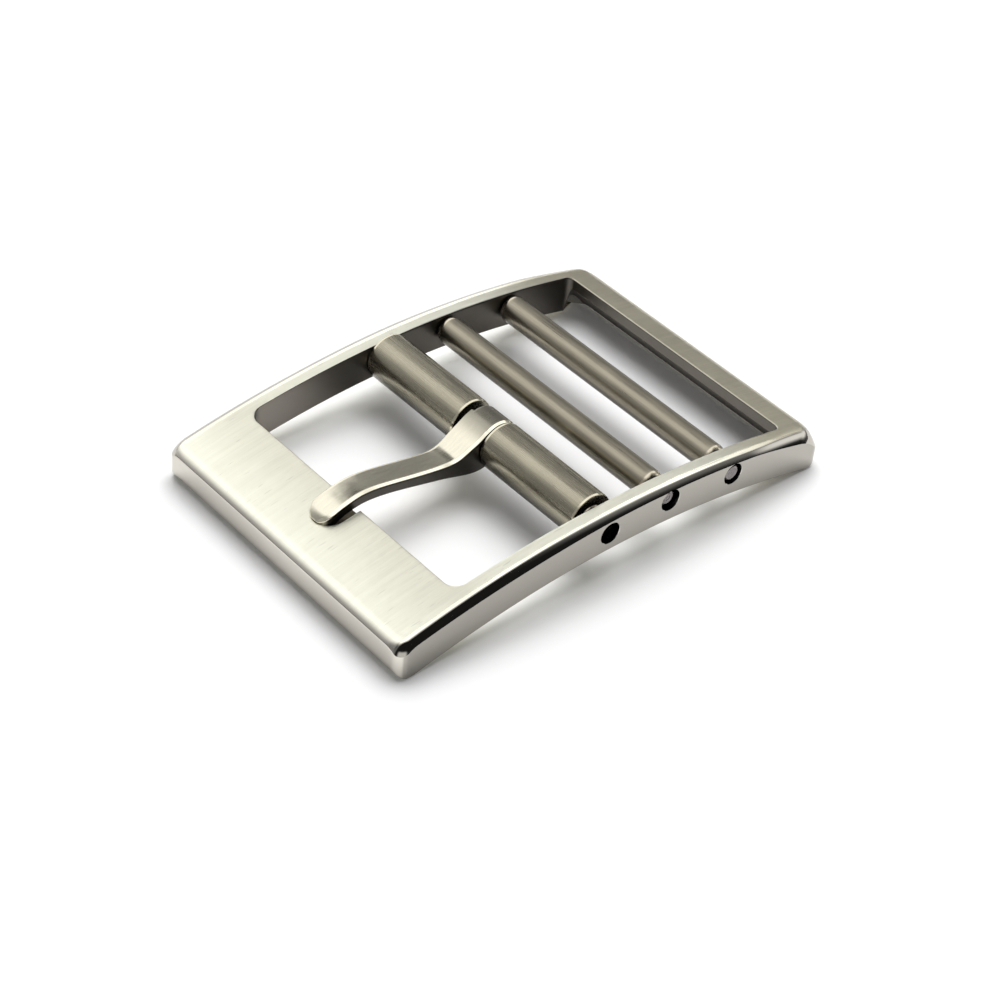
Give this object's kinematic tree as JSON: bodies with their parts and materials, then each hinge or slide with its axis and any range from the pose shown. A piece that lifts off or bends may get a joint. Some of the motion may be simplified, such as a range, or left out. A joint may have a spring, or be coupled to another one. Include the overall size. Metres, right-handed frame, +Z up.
{
  "type": "watch tang buckle",
  "caption": "Arched steel buckle for a watch strap: wide front plate, swinging tang between two loose tubes, and two strap bars held in the side rails by spring tips",
  "frame": {"origin": "on the surface that the buckle stands on, under the middle of its bounding box", "axes": "+X to the right rail, +Y along the strap from the wide front plate to the rear bar, +Z up"},
  "size_m": [0.024, 0.0364, 0.0052],
  "materials": {
    "frame_steel": "top brushed along the strap, side and front faces polished",
    "tang_steel": "polished",
    "tube_steel": "satin, drawn along the tube",
    "barrel_steel": "satin, drawn along the bar",
    "tip_steel": "turned",
    "spring_steel": "drawn wire"
  },
  "bodies": {
    "frame": {"frame": "frame_steel"},
    "tang": {"tang": "tang_steel"},
    "tube_left": {"tube_left": "tube_steel"},
    "tube_right": {"tube_right": "tube_steel"},
    "tang_bar": {"tang_bar_barrel": "barrel_steel", "tang_bar_spring": "spring_steel"},
    "tang_bar_tip_left": {"tang_bar_tip_left": "tip_steel"},
    "tang_bar_tip_right": {"tang_bar_tip_right": "tip_steel"},
    "middle_bar": {"middle_bar_barrel": "barrel_steel", "middle_bar_spring": "spring_steel"},
    "middle_bar_tip_left": {"middle_bar_tip_left": "tip_steel"},
    "middle_bar_tip_right": {"middle_bar_tip_right": "tip_steel"},
    "rear_bar": {"rear_bar_barrel": "barrel_steel", "rear_bar_spring": "spring_steel"},
    "rear_bar_tip_left": {"rear_bar_tip_left": "tip_steel"},
    "rear_bar_tip_right": {"rear_bar_tip_right": "tip_steel"}
  },
  "joints": [
    {"name": "tang_hinge", "type": "hinge", "parent": "frame", "child": "tang", "pos_m": [0, -0.0014, 0.00353], "axis": [-1, 0, 0], "range_deg": [0, 160]},
    {"name": "tube_left_spin", "type": "hinge", "parent": "frame", "child": "tube_left", "pos_m": [-0.006, -0.0014, 0.00353], "axis": [1, 0, 0], "continuous": true},
    {"name": "tube_right_spin", "type": "hinge", "parent": "frame", "child": "tube_right", "pos_m": [0.006, -0.0014, 0.00353], "axis": [1, 0, 0], "continuous": true},
    {"name": "tang_bar_spin", "type": "hinge", "parent": "frame", "child": "tang_bar", "pos_m": [0, -0.0014, 0.00353], "axis": [1, 0, 0], "continuous": true},
    {"name": "tang_bar_tip_left_slide", "type": "slide", "parent": "tang_bar", "child": "tang_bar_tip_left", "axis": [1, 0, 0], "range_m": [0, 0.00065], "stiffness_N_per_m": 500, "deforming": ["tang_bar_spring"]},
    {"name": "tang_bar_tip_right_slide", "type": "slide", "parent": "tang_bar", "child": "tang_bar_tip_right", "axis": [-1, 0, 0], "range_m": [0, 0.00065], "stiffness_N_per_m": 500, "deforming": ["tang_bar_spring"]},
    {"name": "middle_bar_spin", "type": "hinge", "parent": "frame", "child": "middle_bar", "pos_m": [0, 0.0038, 0.0037], "axis": [1, 0, 0], "continuous": true},
    {"name": "middle_bar_tip_left_slide", "type": "slide", "parent": "middle_bar", "child": "middle_bar_tip_left", "axis": [1, 0, 0], "range_m": [0, 0.00125], "stiffness_N_per_m": 500, "deforming": ["middle_bar_spring"]},
    {"name": "middle_bar_tip_right_slide", "type": "slide", "parent": "middle_bar", "child": "middle_bar_tip_right", "axis": [-1, 0, 0], "range_m": [0, 0.00125], "stiffness_N_per_m": 500, "deforming": ["middle_bar_spring"]},
    {"name": "rear_bar_spin", "type": "hinge", "parent": "frame", "child": "rear_bar", "pos_m": [0, 0.0095, 0.00317], "axis": [1, 0, 0], "continuous": true},
    {"name": "rear_bar_tip_left_slide", "type": "slide", "parent": "rear_bar", "child": "rear_bar_tip_left", "axis": [1, 0, 0], "range_m": [0, 0.00143], "stiffness_N_per_m": 500, "deforming": ["rear_bar_spring"]},
    {"name": "rear_bar_tip_right_slide", "type": "slide", "parent": "rear_bar", "child": "rear_bar_tip_right", "axis": [-1, 0, 0], "range_m": [0, 0.00143], "stiffness_N_per_m": 500, "deforming": ["rear_bar_spring"]}
  ]
}
